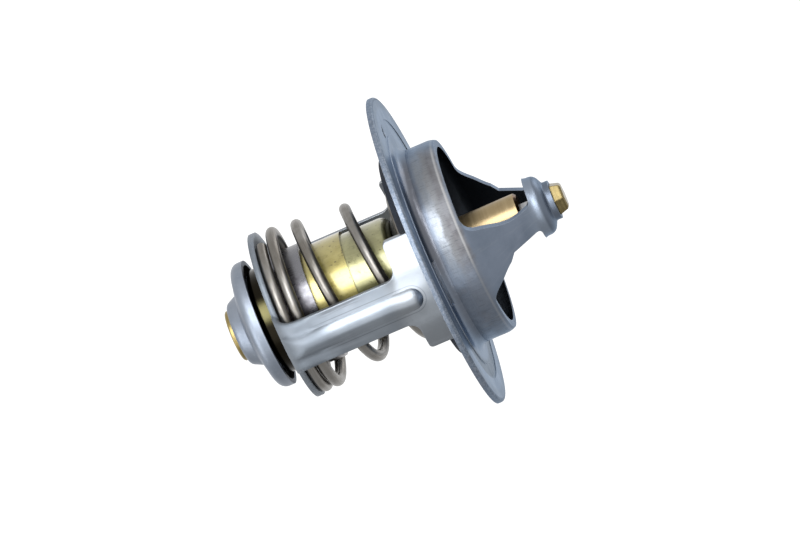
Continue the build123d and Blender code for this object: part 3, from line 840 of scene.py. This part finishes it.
back = direction(AZIMUTH, ELEVATION)
aside = (-back).cross(Vector((0, 0, 1))).normalized()
upright = aside.cross(-back).normalized()
right = math.cos(AXIS_RISE) * upright + math.sin(AXIS_RISE) * aside
over = math.sin(AXIS_RISE) * upright - math.cos(AXIS_RISE) * aside
place = Vector((0, 0, AIM_HEIGHT)) + AIM_ASIDE * aside + back * DISTANCE
lens = bpy.data.cameras.new("photo_view")
lens.sensor_width = SENSOR_WIDTH
lens.lens = FOCUS_PIXELS * SENSOR_WIDTH / WIDTH
camera = bpy.data.objects.new("photo_view", lens)
camera.matrix_world = Matrix(
    [
        [right.x, over.x, back.x, place.x],
        [right.y, over.y, back.y, place.y],
        [right.z, over.z, back.z, place.z],
        [0, 0, 0, 1],
    ]
)
scene.collection.objects.link(camera)
scene.camera = camera


# Soft studio light


def soft_box(name, turn, rise, distance, width, height, radiance, colour=(1, 1, 1)):
    """A flat lamp that faces the part, at an azimuth and a rise in degrees. Radiance 1 is about white."""
    away = direction(math.radians(turn), math.radians(rise))
    lamp = bpy.data.lights.new(name, "AREA")
    lamp.shape = "RECTANGLE"
    lamp.size, lamp.size_y = width, height
    lamp.energy = radiance * math.pi * width * height
    lamp.color = colour
    holder = bpy.data.objects.new(name, lamp)
    holder.location = away * distance
    holder.rotation_mode = "QUATERNION"
    holder.rotation_quaternion = away.to_track_quat("Z", "Y")
    holder.visible_camera = False
    scene.collection.objects.link(holder)


soft_box("key_box", -40, -6, 1.3, 0.9, 0.9, 5.6, (0.97, 0.985, 1.0))
soft_box("front_box", 4, -6, 1.5, 1.3, 1.1, 1.1, (0.96, 0.98, 1.0))
soft_box("low_box", 4, -52, 1.4, 1.2, 0.9, 2.9, (0.97, 0.985, 1.0))
soft_box("side_box", -68, 25, 1.3, 0.4, 0.4, 4.0)
soft_box("top_box", -150, 40, 1.4, 1.0, 0.7, 1.6)

# A room that shows white, mirrors white but for a dimmer side, and lights the part softly
DIM_TURN = math.radians(68)
DIM_SIDE = (math.sin(DIM_TURN), -math.cos(DIM_TURN), -0.1)
DIM_LEVEL = 0.62
ROOM_LIGHT = 0.3
world = bpy.data.worlds.new("white_room")
world.use_nodes = True
scene.world = world
room = world.node_tree
ray = put(room, "ShaderNodeLightPath").outputs
towards = vector(room, "DOT_PRODUCT", put(room, "ShaderNodeTexCoord").outputs["Generated"], DIM_SIDE)
mirrored = spread(room, towards, 0.2, 0.9, 1.0, DIM_LEVEL)
shown = put(
    room, "ShaderNodeMix", {0: ray["Is Glossy Ray"], 2: ROOM_LIGHT, 3: mirrored}, data_type="FLOAT"
).outputs[0]
plain_white = maths(room, "MAXIMUM", ray["Is Camera Ray"], ray["Is Transmission Ray"])
level = put(room, "ShaderNodeMix", {0: plain_white, 2: shown, 3: 1.0}, data_type="FLOAT").outputs[0]
room.links.new(level, room.nodes["Background"].inputs["Strength"])
room.nodes["Background"].inputs["Color"].default_value = (1, 1, 1, 1)


def white_floor(height, reach=9.0):
    """A wide plain floor that shows near white and keeps the part's soft shadow. From below it is clear, and
    reflections and the lamps' light pass through it to the same white room."""
    corners = [
        (-reach, -reach, height),
        (reach, -reach, height),
        (reach, reach, height),
        (-reach, reach, height),
    ]
    mesh = bpy.data.meshes.new("floor")
    mesh.from_pydata(corners, [], [(0, 1, 2, 3)])
    floor = bpy.data.objects.new("floor", mesh)
    scene.collection.objects.link(floor)
    made = bpy.data.materials.new("floor_white")
    made.use_nodes = True
    tree = made.node_tree
    tree.nodes.clear()
    light_path = put(tree, "ShaderNodeLightPath").outputs
    paint = put(tree, "ShaderNodeBsdfDiffuse", {"Color": (0.86, 0.86, 0.86, 1)}).outputs[0]
    glow = put(tree, "ShaderNodeEmission", {"Color": (1, 1, 1, 1), "Strength": 1.3}).outputs[0]
    share = product(tree, light_path["Is Camera Ray"], 0.82)
    seen = put(tree, "ShaderNodeMixShader", {0: share, 1: paint, 2: glow}).outputs[0]
    clear = put(tree, "ShaderNodeBsdfTransparent").outputs[0]
    passing = maths(tree, "MAXIMUM", light_path["Is Glossy Ray"], light_path["Is Shadow Ray"])
    passing = maths(tree, "MAXIMUM", passing, put(tree, "ShaderNodeNewGeometry").outputs["Backfacing"])
    both = put(tree, "ShaderNodeMixShader", {0: passing, 1: seen, 2: clear}).outputs[0]
    tree.links.new(both, put(tree, "ShaderNodeOutputMaterial").inputs["Surface"])
    mesh.materials.append(made)


# The element comes down by up to 8 mm as the valve opens, so the floor lies lower than the part at rest
FLOOR_DROP = 10.0 * MM
white_floor(cad_low.z - FLOOR_DROP)
